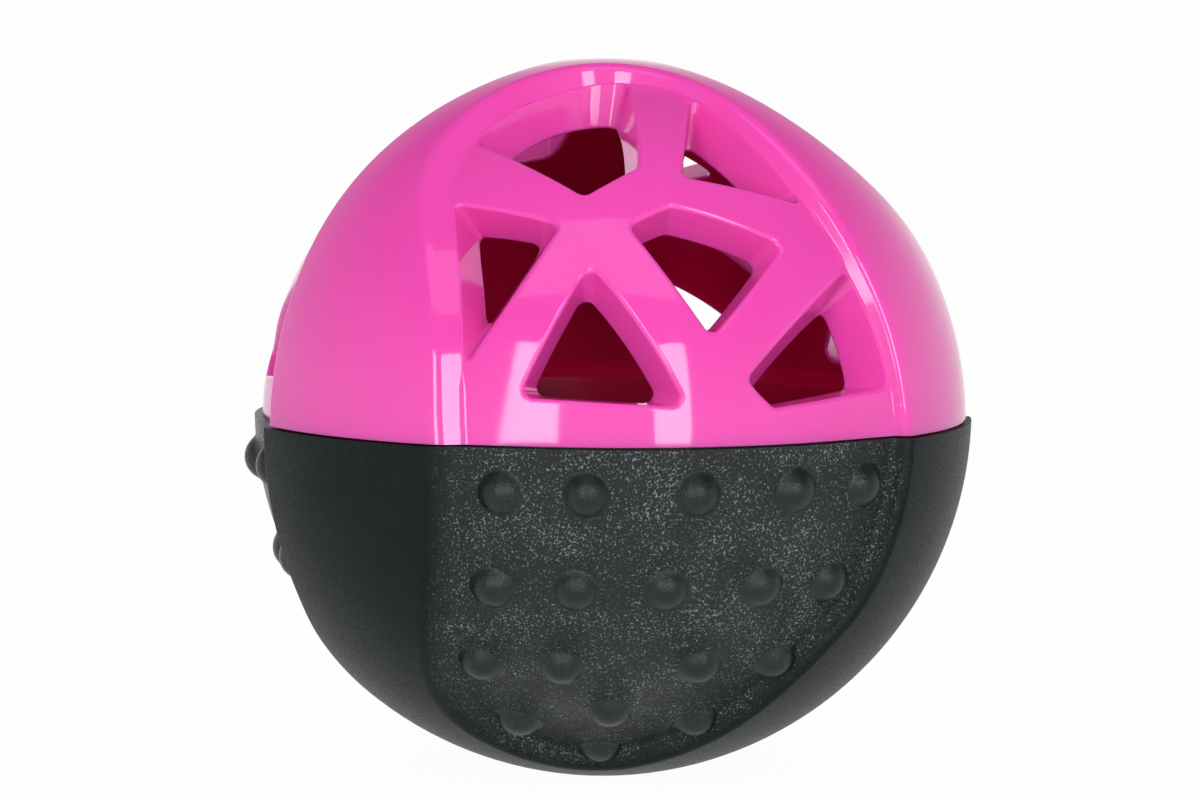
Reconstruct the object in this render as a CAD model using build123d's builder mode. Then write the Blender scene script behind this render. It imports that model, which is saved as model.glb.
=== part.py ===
from build123d import *
import os
from math import cos, radians, sin, sqrt

# Treat dispensing ball: an openwork hard dome that plugs into a hard bowl in a studded rubber shell.
# Millimetres. The origin is the ball's centre on the seam plane, +Z up, and panel one faces -Y.

# Ball
panel_count = 3
panel_pitch = 360 / panel_count
ball_radius = 45.0
drawn_radius = 45.0
outline_scale = ball_radius / drawn_radius
lip_step = 0.65
quarter_turn = 90
turning_plane = Plane.XZ.rotated((0, 0, panel_pitch / 2 - quarter_turn))

# Openwork dome
dome_center_z = -1.0
dome_band_radius = ball_radius - lip_step
dome_recess_depth = 2.75
dome_panel_radius = dome_band_radius - dome_recess_depth
dome_wall = 4.1
dome_inner_radius = dome_panel_radius - dome_wall

# Rubber shell
shell_center_z = 0.7
shell_band_radius = ball_radius
shell_recess_depth = 2.45
shell_panel_radius = shell_band_radius - shell_recess_depth
shell_panel_wall = 2.25
rest_flat_radius = 5.0
shell_inner_radius = shell_panel_radius - shell_panel_wall

# Fits
seam_gap = 0.25
shell_fit = 0.1
plug_clearance = 0.3

# Inner bowl
bowl_outer_radius = shell_inner_radius - shell_fit
bowl_wall = 2.2
bowl_inner_radius = bowl_outer_radius - bowl_wall
collar_step = 1.1
collar_bore_radius = bowl_inner_radius - collar_step
collar_relief = 0.8

# Dome plug, which drops into the bowl's collar
plug_radius = collar_bore_radius - plug_clearance
plug_wall = 2.0
plug_length = 7.0
plug_lead_in = 0.8
plug_shoulder_z = 1.2
key_reach = 1.4
key_width = 6.0
key_foot = 1.0
key_azimuth = quarter_turn

# Panel recesses: the walls draw from a point a little outside the ball's centre
recess_tilt = 36.0
recess_apex = 6.0 * outline_scale
recess_plane_reach = dome_band_radius
recess_tool_margin = 1.5
recess_tool_far = ball_radius + recess_tool_margin
recess_tool_near = 13.0 * outline_scale
recess_corner = 9.0 * outline_scale
dome_edge_round = 1.6
shell_edge_round = 1.3
shell_foot_round = 0.7
middle = 0.5
round_off = 0.001
dome_recess = [(-61.3, -80), (-37, -11.9), (-32.5, 31), (-2, 49.5), (30, -0.5), (80, -80)]
shell_recess = [(-66, 80), (-37, 6), (-31.5, -23.5), (-5, -36.5), (25, 2.5), (89.5, 80)]

# Dispensing windows: draw direction in degrees, then the corners on the plane square to it
window_draft = 16.0
window_stand_off = 0.5
window_depth = 10.0
window_corner = 1.1
windows = [
    (-12, 48, [(-22, 13.7), (-3.7, -2.1), (3.1, 3.0), (6, 42)]),
    (14, 44, [(13, 42), (-4.5, 4.2), (24, -4.9)]),
    (-18, 27, [(-27, 19), (-18.2, -18), (-2.4, 9.2)]),
    (-5, 20, [(-7.5, 10.3), (-18.8, -7.9), (4.1, -9.3)]),
    (3, 33, [(-7.7, 5.3), (0.8, -11), (13.7, 2.9), (-1.3, 7.9)]),
    (6, 20, [(30, 22), (2.1, -5.8), (6, -9.7), (40, -6)]),
]

# Studs: spherical caps in rows, each row an elevation and the azimuths of its studs in degrees
stud_base_radius = 2.7
stud_height = 1.7
stud_ball_radius = (stud_height**2 + stud_base_radius**2) / (2 * stud_height)
stud_seat_radius = shell_panel_radius + stud_height - stud_ball_radius
stud_root = 0.8
stud_rows = [
    (-8.5, [-31, -17, 1, 18.5, 33]),
    (-25, [-34, -19, -3, 15, 30]),
    (-41, [-41, -23, 7, 26]),
    (-53, [-12]),
    (-57.5, [-40, 16]),
    (-70, [-14.5]),
]


def outward(azimuth, elevation):
    """Unit vector from the ball's centre, azimuth counted to the right of panel one."""
    level = cos(radians(elevation))
    return Vector(sin(radians(azimuth)) * level, -cos(radians(azimuth)) * level, sin(radians(elevation)))


def facing(azimuth, elevation, distance, center_z):
    """Plane square to a direction, its X level and its Y uphill."""
    level_x = Vector(cos(radians(azimuth)), sin(radians(azimuth)), 0)
    normal = outward(azimuth, elevation)
    return Plane(origin=Vector(0, 0, center_z) + normal * distance, x_dir=level_x, z_dir=normal)


def sized(outline, scale):
    """Outline with all its corners moved in or out by a factor."""
    return [(x * scale, y * scale) for x, y in outline]


def drawn(outline, distance):
    """Outline of a recess wall at a distance from the centre, scaled about the draw point."""
    scale = (distance - recess_apex) / (recess_plane_reach - recess_apex)
    return sized(outline, outline_scale * scale), recess_corner * scale


def sphere_height(radius, center_z, reach):
    """Height of a sphere's upper half above the seam at a distance from its axis."""
    return center_z + sqrt(radius**2 - reach**2)


def sphere_reach(radius, center_z, height):
    """Distance of a sphere from its axis at a height above the seam."""
    return sqrt(radius**2 - (height - center_z) ** 2)


def on_sphere(edges, radius, center_z):
    """Edges that lie on a sphere about the ball's axis, leaving out those in the seam plane."""
    center = Vector(0, 0, center_z)
    near = [edge for edge in edges if abs((edge @ middle - center).length - radius) < round_off]
    return [edge for edge in near if abs((edge @ middle).Z) > seam_gap + round_off]


# Lattice: the panel's sphere with the six drafted windows through it
with BuildPart() as lattice:
    with Locations((0, 0, dome_center_z)):
        Sphere(dome_panel_radius)
    for azimuth, elevation, corners in windows:
        with BuildSketch(facing(azimuth, elevation, dome_panel_radius + window_stand_off, dome_center_z)):
            with BuildLine():
                FilletPolyline(*sized(corners, outline_scale), radius=window_corner, close=True)
            make_face()
        extrude(amount=-window_depth, taper=window_draft, mode=Mode.SUBTRACT)

# Panel tool of the dome: a drafted plug right through the wall that leaves the lattice standing
with BuildPart() as dome_panel_tool:
    for distance in (recess_tool_near, recess_tool_far):
        with BuildSketch(facing(0, recess_tilt, distance, dome_center_z)):
            points, corner = drawn(dome_recess, distance)
            with BuildLine():
                FilletPolyline(*points, radius=corner, close=True)
            make_face()
    loft(ruled=True)
    add(lattice.part, mode=Mode.SUBTRACT)

# Recess tool of the rubber shell, drawn downward
with BuildPart() as shell_recess_tool:
    for distance in (recess_tool_near, recess_tool_far):
        with BuildSketch(facing(0, -recess_tilt, distance, shell_center_z)):
            points, corner = drawn(shell_recess, distance)
            with BuildLine():
                FilletPolyline(*points, radius=corner, close=True)
            make_face()
    loft(ruled=True)
    with Locations((0, 0, shell_center_z)):
        Sphere(shell_panel_radius, mode=Mode.SUBTRACT)

# Openwork dome: turned blank with its plug, then the panels, rounded edges and keys
with BuildPart() as openwork_dome:
    with BuildSketch(turning_plane):
        with BuildLine():
            rim_reach = sphere_reach(dome_band_radius, dome_center_z, 0)
            waist_z = plug_shoulder_z + plug_wall
            waist_reach = sphere_reach(dome_inner_radius, dome_center_z, waist_z)
            plug_bore = plug_radius - plug_wall
            Polyline(
                (rim_reach, 0),
                (plug_radius, 0),
                (plug_radius, plug_lead_in - plug_length),
                (plug_radius - plug_lead_in, -plug_length),
                (plug_bore, -plug_length),
                (plug_bore, plug_shoulder_z),
                (waist_reach, waist_z),
            )
            inner_top = dome_center_z + dome_inner_radius
            outer_top = dome_center_z + dome_band_radius
            RadiusArc((waist_reach, waist_z), (0, inner_top), -dome_inner_radius)
            Line((0, inner_top), (0, outer_top))
            RadiusArc((0, outer_top), (rim_reach, 0), dome_band_radius)
        make_face()
    revolve(axis=Axis.Z)
    with PolarLocations(0, panel_count):
        add(dome_panel_tool.part, mode=Mode.SUBTRACT)
    fillet(on_sphere(openwork_dome.edges(Select.LAST), dome_band_radius, dome_center_z), dome_edge_round)
    with BuildSketch(Plane.XY.offset(key_foot - plug_length)):
        with PolarLocations((plug_bore + plug_radius + key_reach) / 2, panel_count, key_azimuth):
            Rectangle(plug_radius + key_reach - plug_bore, key_width)
    extrude(amount=plug_length - key_foot)
openwork_dome.part.label = "openwork_dome"

# Inner bowl: turned, with a collar at the mouth and a keyway behind each band
with BuildPart() as inner_bowl:
    with BuildSketch(turning_plane):
        with BuildLine():
            mouth_reach = sphere_reach(bowl_outer_radius, shell_center_z, 0)
            collar_foot = 2 * shell_center_z - sphere_height(bowl_inner_radius, shell_center_z, collar_bore_radius)
            outer_bottom = shell_center_z - bowl_outer_radius
            inner_bottom = shell_center_z - bowl_inner_radius
            RadiusArc((mouth_reach, 0), (0, outer_bottom), bowl_outer_radius)
            Line((0, outer_bottom), (0, inner_bottom))
            RadiusArc((0, inner_bottom), (collar_bore_radius, collar_foot), -bowl_inner_radius)
            Polyline(
                (collar_bore_radius, collar_foot),
                (collar_bore_radius, -collar_relief),
                (collar_bore_radius + collar_relief, 0),
                (mouth_reach, 0),
            )
        make_face()
    revolve(axis=Axis.Z)
    keyway_reach = plug_radius + key_reach + plug_clearance
    with BuildSketch(Plane.XY):
        with PolarLocations((plug_bore + keyway_reach) / 2, panel_count, key_azimuth):
            Rectangle(keyway_reach - plug_bore, key_width + 2 * plug_clearance)
    extrude(amount=-plug_length, mode=Mode.SUBTRACT)
inner_bowl.part.label = "inner_bowl"

# Studs of one panel, each a spherical cap rooted in the rubber
with BuildPart() as stud_tool:
    for elevation, azimuths in stud_rows:
        for azimuth in azimuths:
            with Locations(facing(azimuth, elevation, stud_seat_radius, shell_center_z)):
                Sphere(stud_ball_radius)
    with Locations((0, 0, shell_center_z)):
        Sphere(shell_inner_radius + stud_root, mode=Mode.SUBTRACT)

# Rubber shell: a thick cup over the bowl with a small flat to rest on, recessed panels and rows of studs
with BuildPart() as rubber_shell:
    with BuildSketch(turning_plane):
        with BuildLine():
            lip_reach = sphere_reach(shell_band_radius, shell_center_z, -seam_gap)
            bore_reach = sphere_reach(shell_inner_radius, shell_center_z, -seam_gap)
            flat_z = 2 * shell_center_z - sphere_height(shell_band_radius, shell_center_z, rest_flat_radius)
            bore_bottom = shell_center_z - shell_inner_radius
            RadiusArc((lip_reach, -seam_gap), (rest_flat_radius, flat_z), shell_band_radius)
            Polyline((rest_flat_radius, flat_z), (0, flat_z), (0, bore_bottom))
            RadiusArc((0, bore_bottom), (bore_reach, -seam_gap), -shell_inner_radius)
            Line((bore_reach, -seam_gap), (lip_reach, -seam_gap))
        make_face()
    revolve(axis=Axis.Z)
    with PolarLocations(0, panel_count):
        add(shell_recess_tool.part, mode=Mode.SUBTRACT)
    fillet(on_sphere(rubber_shell.edges(Select.LAST), shell_band_radius, shell_center_z), shell_edge_round)
    fillet(on_sphere(rubber_shell.edges(), shell_panel_radius, shell_center_z), shell_foot_round)
    with PolarLocations(0, panel_count):
        add(stud_tool.part)
rubber_shell.part.label = "rubber_shell"

os.makedirs("parts", exist_ok=True)
export_step(openwork_dome.part, "parts/openwork_dome.step")
export_step(inner_bowl.part, "parts/inner_bowl.step")
export_step(rubber_shell.part, "parts/rubber_shell.step")
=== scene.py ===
"""Looks of the treat dispensing ball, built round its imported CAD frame."""

import logging
import math
from collections.abc import Callable
from dataclasses import dataclass, field, replace
from enum import Enum

import bpy
import numpy as np
from mathutils import Matrix, Vector, geometry


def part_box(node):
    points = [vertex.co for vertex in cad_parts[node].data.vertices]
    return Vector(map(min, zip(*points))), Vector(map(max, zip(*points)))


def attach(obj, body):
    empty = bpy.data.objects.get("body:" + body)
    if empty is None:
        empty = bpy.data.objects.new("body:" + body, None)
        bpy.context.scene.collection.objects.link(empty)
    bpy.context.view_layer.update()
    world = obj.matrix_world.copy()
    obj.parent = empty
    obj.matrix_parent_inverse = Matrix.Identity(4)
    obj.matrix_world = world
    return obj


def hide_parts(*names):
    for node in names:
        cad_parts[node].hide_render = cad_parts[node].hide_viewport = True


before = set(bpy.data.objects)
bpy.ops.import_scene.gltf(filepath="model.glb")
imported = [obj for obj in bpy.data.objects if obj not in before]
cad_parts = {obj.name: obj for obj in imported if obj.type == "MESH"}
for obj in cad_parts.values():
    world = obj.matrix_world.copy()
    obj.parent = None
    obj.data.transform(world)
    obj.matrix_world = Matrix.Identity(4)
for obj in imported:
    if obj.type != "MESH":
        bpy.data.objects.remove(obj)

LOG = logging.getLogger("treat_ball")
MM = 0.001
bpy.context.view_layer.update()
WELD_SIZE = 0.002 * MM
WHITE = (1.0, 1.0, 1.0, 1.0)

Points = np.ndarray


class Half(Enum):
    """Which half of the ball a skin belongs to, as the sign of its height axis."""

    UPPER = 1.0
    LOWER = -1.0


class Body(Enum):
    """Bodies of the frame that the pieces ride on."""

    BASE = "base"
    DOME = "dome"


# Small geometry


def unit(vectors: Points) -> Points:
    """Returns the vectors with their lengths made one."""
    return vectors / np.linalg.norm(vectors, axis=-1, keepdims=True)


def axes_towards(azimuth: float, elevation: float) -> tuple[Points, Points, Points]:
    """Axes of a plane square to a direction from the ball's centre.

    Args:
        azimuth: Degrees to the right of the front panel.
        elevation: Degrees above the seam plane.

    Returns:
        Level axis, uphill axis and outward normal.
    """
    turn, rise = math.radians(azimuth), math.radians(elevation)
    level = np.array([math.cos(turn), math.sin(turn), 0.0])
    spread = math.cos(rise)
    normal = np.array([math.sin(turn) * spread, -math.cos(turn) * spread, math.sin(rise)])
    return level, np.cross(normal, level), normal


def turned(vectors: Points, degrees: float) -> Points:
    """Turns vectors about the ball's upright axis.

    Args:
        vectors: One vector, or one a row.
        degrees: How far they are turned.

    Returns:
        The turned vectors.
    """
    angle = math.radians(degrees)
    c, s = math.cos(angle), math.sin(angle)
    return vectors @ np.array([[c, s, 0.0], [-s, c, 0.0], [0.0, 0.0, 1.0]])


def inside(points: Points, polygon: Points, chunk: int = 1500) -> Points:
    """Tests which flat points lie in a polygon.

    Args:
        points: Flat points, one a row.
        polygon: Corners of the polygon in order.
        chunk: How many points are tested at once.

    Returns:
        True for each point that lies inside.
    """
    start, end = polygon, np.roll(polygon, -1, axis=0)
    rise = end[:, 1] - start[:, 1]
    slope = (end[:, 0] - start[:, 0]) / np.where(rise == 0, 1.0, rise)
    result = []
    for first in range(0, len(points), chunk):
        x, y = points[first : first + chunk, :1], points[first : first + chunk, 1:]
        crossed = (start[:, 1] > y) != (end[:, 1] > y)
        result.append((crossed & (x < start[:, 0] + (y - start[:, 1]) * slope)).sum(1) % 2 == 1)
    return np.concatenate(result)


def past_polygon(points: Points, polygon: Points, chunk: int = 2000) -> Points:
    """Measures how far flat points lie outside a polygon.

    Args:
        points: Flat points, one a row.
        polygon: Corners of the polygon in order.
        chunk: How many points are measured at once.

    Returns:
        Distance of each point to the edge, negative inside.
    """
    run = np.roll(polygon, -1, axis=0) - polygon
    square = (run**2).sum(1)
    result = []
    for first in range(0, len(points), chunk):
        gap = points[first : first + chunk, None, :] - polygon
        share = np.clip((gap * run).sum(2) / square, 0, 1)
        result.append(np.sqrt(((gap - share[:, :, None] * run) ** 2).sum(2).min(1)))
    return np.concatenate(result) * np.where(inside(points, polygon), -1.0, 1.0)


def through(stops: Points, steps: int) -> Points:
    """Draws a smooth line through points.

    Args:
        stops: The points in order.
        steps: Short straight runs between two stops.

    Returns:
        Points of the line, the first and last stop included.
    """
    padded = np.vstack([2 * stops[0] - stops[1], stops, 2 * stops[-1] - stops[-2]])
    share = np.linspace(0, 1, steps, endpoint=False)[:, None]
    line = []
    for a, b, c, d in zip(padded, padded[1:], padded[2:], padded[3:]):
        bend = (2 * a - 5 * b + 4 * c - d) * share**2 + (3 * b - a - 3 * c + d) * share**3
        line.append(b + 0.5 * ((c - a) * share + bend))
    return np.vstack([*line, stops[-1:]])


def fill(outline: Points, holes: list[Points], spacing: float, clearance: float = 0.45,
         chunk: int = 500) -> tuple[Points, list, list]:
    """Fills a flat outline with even triangles.

    Args:
        outline: Corners of the outer edge in order.
        holes: Corners of each hole in order.
        spacing: Distance between the points set inside.
        clearance: Least distance of those points from an edge point, as a share of the spacing.
        chunk: How many points are measured at once.

    Returns:
        Flat points, triangles, and for each point its place among the edge points or -1.
    """

    def within(points: Points) -> Points:
        """Tests which flat points lie in the outline and in no hole.

        Args:
            points: Flat points, one a row.

        Returns:
            True for each point that does.
        """
        keep = inside(points, outline)
        for hole in holes:
            keep &= ~inside(points, hole)
        return keep

    loops = [outline, *holes]
    edge_points = np.vstack(loops)
    edges, first = [], 0
    for loop in loops:
        count = len(loop)
        edges += [(first + i, first + (i + 1) % count) for i in range(count)]
        first += count
    low, high = outline.min(0), outline.max(0)
    rows = []
    for i, y in enumerate(np.arange(low[1], high[1], spacing * math.sqrt(3) / 2)):
        x = np.arange(low[0] + (i % 2) * spacing / 2, high[0], spacing)
        rows.append(np.column_stack([x, np.full_like(x, y)]))
    grid = np.vstack(rows)
    grid = grid[within(grid)]
    clear = np.ones(len(grid), bool)
    for begin in range(0, len(grid), chunk):
        gap = grid[begin : begin + chunk, None, :] - edge_points[None, :, :]
        clear[begin : begin + chunk] = (gap**2).sum(2).min(1) > (clearance * spacing) ** 2
    flat = [Vector(p) for p in np.vstack([edge_points, grid[clear]])]
    points, _, triangles, origins, _, _ = geometry.delaunay_2d_cdt(flat, edges, [], 0, 1e-9)
    points = np.array([p[:] for p in points])
    triangles = np.array(triangles)
    keep = within(points[triangles].mean(1))
    origin = [min(o) if o and min(o) < len(edge_points) else -1 for o in origins]
    return points, triangles[keep].tolist(), origin


@dataclass
class Loop:
    """A line of points on a surface with the surface's normal at each."""

    points: Points
    normals: Points

    def above(self, level: float, count: int) -> "Loop":
        """Cuts a line that starts and ends below a height, and spaces what is above evenly.

        Args:
            level: Height of the cut.
            count: Points in the returned line.

        Returns:
            Open line from one cut to the other.
        """
        high = self.points[:, 2] > level
        start = int(np.flatnonzero(high & ~np.roll(high, 1))[0])
        points = np.roll(self.points, -start, axis=0)
        normals = np.roll(self.normals, -start, axis=0)
        run = int(high.sum())
        ends = []
        for outer, inner in ((-1, 0), (run, run - 1)):
            share = (level - points[outer, 2]) / (points[inner, 2] - points[outer, 2])
            ends.append((points[outer] + share * (points[inner] - points[outer]), normals[inner]))
        points = np.vstack([ends[0][0], points[:run], ends[1][0]])
        normals = np.vstack([ends[0][1], normals[:run], ends[1][1]])
        return Loop(points, normals).spaced(count)

    def spaced(self, count: int) -> "Loop":
        """Spaces the line's points evenly.

        Args:
            count: Points in the returned line.

        Returns:
            Open line along this one.
        """
        step = np.linalg.norm(np.diff(self.points, axis=0), axis=1)
        along = np.concatenate([[0], np.cumsum(step)])
        at = np.linspace(0, along[-1], count)
        points = np.column_stack([np.interp(at, along, self.points[:, i]) for i in range(3)])
        normals = np.column_stack([np.interp(at, along, self.normals[:, i]) for i in range(3)])
        return Loop(points, unit(normals))


def rounding(start: Loop, corner: Points, end: Loop, steps: int) -> list[Loop]:
    """Lines of a rounded edge between two surfaces.

    Args:
        start: Line where the round leaves the first surface.
        corner: The sharp edge that the round replaces.
        end: Line where the round meets the second surface.
        steps: Facets across the round.

    Returns:
        Lines from start to end, both included.
    """
    lines = []
    for share in np.linspace(0, 1, steps + 1):
        a, b, c = (1 - share) ** 2, math.sqrt(2) * share * (1 - share), share**2
        points = (a * start.points + b * corner + c * end.points) / (a + b + c)
        swing = math.radians(90) * share
        normals = unit(math.cos(swing) * start.normals + math.sin(swing) * end.normals)
        lines.append(Loop(points, normals))
    return lines


@dataclass(frozen=True)
class Outline:
    """A convex flat outline with rounded corners, its corners in millimetres."""

    corners: tuple
    radius: float

    def walls(self) -> tuple[Points, Points]:
        """Measures the outline's sides.

        Returns:
            The outward direction of each side, and its distance from the drawing's zero.
        """
        points = np.array(self.corners, float) * MM
        run = np.roll(points, -1, axis=0) - points
        out = unit(np.column_stack([run[:, 1], -run[:, 0]]))
        out *= np.sign((out * (points - points.mean(0))).sum(1).sum())
        return out, (out * points).sum(1)

    def signed(self, points: Points, drawn_in: Points) -> Points:
        """Measures how far flat points lie past the outline.

        Args:
            points: Flat points, one a row.
            drawn_in: How far the sides are drawn in at each point. The corners keep their radius.

        Returns:
            Distance of each point to the sides, negative inside.
        """
        out, reach = self.walls()
        before = np.roll(out, 1, axis=0)
        spread = before[:, 0] * out[:, 1] - before[:, 1] * out[:, 0]

        def meeting(first: Points, second: Points) -> Points:
            """Finds where each side meets the one before it.

            Args:
                first: Reach of the side before each side.
                second: Reach of each side.

            Returns:
                One corner for each side.
            """
            x = first * out[:, 1] - second * before[:, 1]
            y = second * before[:, 0] - first * out[:, 0]
            return np.column_stack([x, y]) / spread[:, None]

        shift = meeting(np.ones(len(out)), np.ones(len(out)))
        inset = (self.radius + drawn_in)[:, None, None]
        corners = meeting(np.roll(reach, 1), reach) - inset * shift
        run = np.roll(corners, -1, axis=1) - corners
        gap = points[:, None, :] - corners
        share = np.clip((gap * run).sum(2) / (run**2).sum(2), 0, 1)
        nearest = np.linalg.norm(gap - share[:, :, None] * run, axis=2).min(1)
        sharp = (points @ out.T - reach).max(1) + drawn_in
        return np.where(sharp + self.radius > 0, np.maximum(nearest - self.radius, sharp), sharp)


@dataclass(frozen=True)
class Draw:
    """An outline drawn through a wall, with sides that lean inward by a draft."""

    outline: Outline
    azimuth: float
    elevation: float
    plane: float
    draft: float

    def signed(self, points: Points) -> Points:
        """Measures how far points lie past the sides.

        Args:
            points: The points, one a row.

        Returns:
            Distance of each point to the sides, negative inside.
        """
        level, uphill, normal = axes_towards(self.azimuth, self.elevation)
        flat = np.column_stack([points @ level, points @ uphill])
        depth = self.plane - points @ normal
        lean = math.radians(self.draft)
        return self.outline.signed(flat, depth * math.tan(lean)) * math.cos(lean)


@dataclass(frozen=True)
class Field:
    """What lies inside a panel's foot line, drawing in towards the ball's centre."""

    panel: "HalfBall"
    line: Points
    ledge: float
    flare: float

    def signed(self, points: Points) -> Points:
        """Measures how far points lie past the foot line.

        Args:
            points: The points, one a row.

        Returns:
            Distance of each point to the foot line, negative inside.
        """
        flat, scale = self.panel.flattened(points)
        depth = self.panel.panel_reach(flat) - np.linalg.norm(points, axis=1)
        return past_polygon(flat, self.line) * scale + self.ledge + self.flare * np.maximum(depth, 0)


@dataclass(frozen=True)
class Cutter:
    """An opening in a sphere: what lies inside all of its draws, rounded where they meet.

    Distances are from the sphere's centre.
    """

    axis: Points
    draws: tuple
    corner: float
    probe: float = 0.02 * MM
    halvings: int = 40
    fine_steps: int = 720
    steep_from: float = 0.8

    def signed(self, points: Points) -> Points:
        """Measures how far points lie past the opening.

        Args:
            points: The points, one a row.

        Returns:
            Distance of each point to the opening's wall, negative inside.
        """
        past = np.column_stack([d.signed(points) for d in self.draws])
        met = np.linalg.norm(np.maximum(past + self.corner, 0), axis=1) - self.corner
        return np.where((past > -self.corner).all(1), met, past.max(1))

    def out_of(self, points: Points) -> Points:
        """Returns the direction square to the wall at each point, out of the opening."""
        steps = self.probe * np.eye(3)
        return unit(np.column_stack([self.signed(points + s) - self.signed(points - s) for s in steps]))

    def edge(self, face: Callable, angles: Points, limit: float) -> Points:
        """Finds where the opening's wall meets a face.

        Args:
            face: Gives the face's point in each direction.
            angles: Directions round the opening's axis, in radians.
            limit: Widest angle from the axis that is searched, in radians.

        Returns:
            One point for each direction.
        """
        steep = abs(self.axis[2]) > self.steep_from
        helper = np.array([0.0, -1.0, 0.0]) if steep else np.array([0.0, 0.0, 1.0])
        right = unit(np.cross(helper, self.axis))
        up = np.cross(self.axis, right)
        side = np.cos(angles)[:, None] * right + np.sin(angles)[:, None] * up
        low, high = np.zeros(len(angles)), np.full(len(angles), limit)
        for _ in range(self.halvings):
            middle = (low + high) / 2
            points = face(np.cos(middle)[:, None] * self.axis + np.sin(middle)[:, None] * side)
            within = self.signed(points) < 0
            low, high = np.where(within, middle, low), np.where(within, high, middle)
        return points

    def even_angles(self, face: Callable, count: int, limit: float) -> Points:
        """Finds angles round the axis whose edge points are evenly spaced.

        Args:
            face: Gives the face's point in each direction.
            count: How many angles.
            limit: Widest angle from the axis that is searched, in radians.

        Returns:
            The angles in radians.
        """
        angles = np.linspace(0, 2 * math.pi, self.fine_steps + 1)
        edge = self.edge(face, angles, limit)
        along = np.concatenate([[0], np.cumsum(np.linalg.norm(np.diff(edge, axis=0), axis=1))])
        return np.interp(np.linspace(0, along[-1], count, endpoint=False), along, angles)

    def side(self, edge: Points) -> Points:
        """Finds the way along the sphere, out of the opening, at points of its edge.

        Args:
            edge: Points of the edge in order.

        Returns:
            One direction for each point.
        """
        run = np.roll(edge, -1, axis=0) - np.roll(edge, 1, axis=0)
        across = unit(np.cross(unit(edge), run))
        flip = np.sign((across * self.out_of(edge)).sum(1, keepdims=True))
        return across * flip


@dataclass
class Skin:
    """Faces of a piece as it is put together, each corner with its surface normal."""

    points: list[Points] = field(default_factory=list)
    normals: list[Points] = field(default_factory=list)
    faces: list[list[int]] = field(default_factory=list)
    slots: list[int] = field(default_factory=list)
    count: int = 0

    def add(self, points: Points, normals: Points, faces: list, slot: int = 0) -> None:
        """Adds a patch.

        Args:
            points: Its points.
            normals: The surface normal at each point.
            faces: Point numbers of each face.
            slot: Material slot of the patch.
        """
        self.points.append(points)
        self.normals.append(normals)
        self.faces += [[self.count + i for i in face] for face in faces]
        self.slots += [slot] * len(faces)
        self.count += len(points)

    def strip(self, loops: list[Loop], closed: bool, slot: int = 0) -> None:
        """Adds the surface through lines of equal length.

        Args:
            loops: The lines in order.
            closed: Whether each line is a ring.
            slot: Material slot of the surface.
        """
        rows, width = len(loops), len(loops[0].points)
        faces = []
        for row in range(rows - 1):
            for i in range(width if closed else width - 1):
                j = (i + 1) % width
                here, after = row * width, (row + 1) * width
                faces.append([here + i, here + j, after + j, after + i])
        points = np.vstack([loop.points for loop in loops])
        normals = np.vstack([loop.normals for loop in loops])
        self.add(points, normals, faces, slot)

    def repeated(self, other: "Skin", count: int) -> None:
        """Adds another skin several times round the upright axis.

        Args:
            other: The skin of one sector.
            count: Sectors round the axis.
        """
        points, normals = np.vstack(other.points), np.vstack(other.normals)
        for k in range(count):
            turn = 360 / count * k
            first = self.count
            self.points.append(turned(points, turn))
            self.normals.append(turned(normals, turn))
            self.faces += [[first + i for i in face] for face in other.faces]
            self.slots += other.slots
            self.count += len(points)

    def piece(self, name: str, half: Half, center_z: float, materials: list) -> bpy.types.Object:
        """Makes the mesh, welded, outward and with its own normals.

        Args:
            name: Name of the piece.
            half: Half of the ball, which gives the height axis its sign.
            center_z: Height of the sphere's centre that the points are measured from.
            materials: Materials for the slots in order.

        Returns:
            The new object.
        """
        sign = np.array([1.0, 1.0, half.value])
        points = np.vstack(self.points) * sign + np.array([0.0, 0.0, center_z])
        normals = np.vstack(self.normals) * sign
        cells = np.round(points / WELD_SIZE).astype(np.int64)
        _, first, index = np.unique(cells, axis=0, return_index=True, return_inverse=True)
        index = index.ravel()
        welded = points[first]
        faces, corners, slots = [], [], []
        for face, slot in zip(self.faces, self.slots):
            ids = [int(index[i]) for i in face]
            keep = [k for k in range(len(ids)) if ids[k] != ids[k - 1]]
            if len(keep) < 3:
                continue
            ids, source = [ids[k] for k in keep], [face[k] for k in keep]
            a, b, c = welded[ids[0]], welded[ids[1]], welded[ids[2]]
            if np.dot(np.cross(b - a, c - a), normals[source].sum(0)) < 0:
                ids.reverse()
                source.reverse()
            faces.append(ids)
            corners += source
            slots.append(slot)
        mesh = bpy.data.meshes.new(name)
        mesh.from_pydata(welded.tolist(), [], faces)
        for material in materials:
            mesh.materials.append(material)
        mesh.polygons.foreach_set("material_index", slots)
        mesh.polygons.foreach_set("use_smooth", [True] * len(faces))
        mesh.normals_split_custom_set(normals[corners].tolist())
        mesh.update()
        return placed(name, mesh)


def placed(name: str, data: bpy.types.ID) -> bpy.types.Object:
    """Puts a new object into the scene.

    Args:
        name: Its name.
        data: Its mesh, lamp or camera.

    Returns:
        The new object.
    """
    thing = bpy.data.objects.new(name, data)
    bpy.context.scene.collection.objects.link(thing)
    return thing


def ring(radius: float, height: float, normal: tuple[float, float], segments: int) -> Loop:
    """A ring about the upright axis.

    Args:
        radius: Its distance from the axis.
        height: Its height.
        normal: The surface normal's parts away from the axis and along it.
        segments: Points round the ring.

    Returns:
        The ring as a closed line.
    """
    angle = np.arange(segments) * 2 * math.pi / segments
    c, s = np.cos(angle), np.sin(angle)
    points = np.column_stack([radius * c, radius * s, np.full(segments, height)])
    normals = np.column_stack([normal[0] * c, normal[0] * s, np.full(segments, normal[1])])
    return Loop(points, unit(normals))


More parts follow.
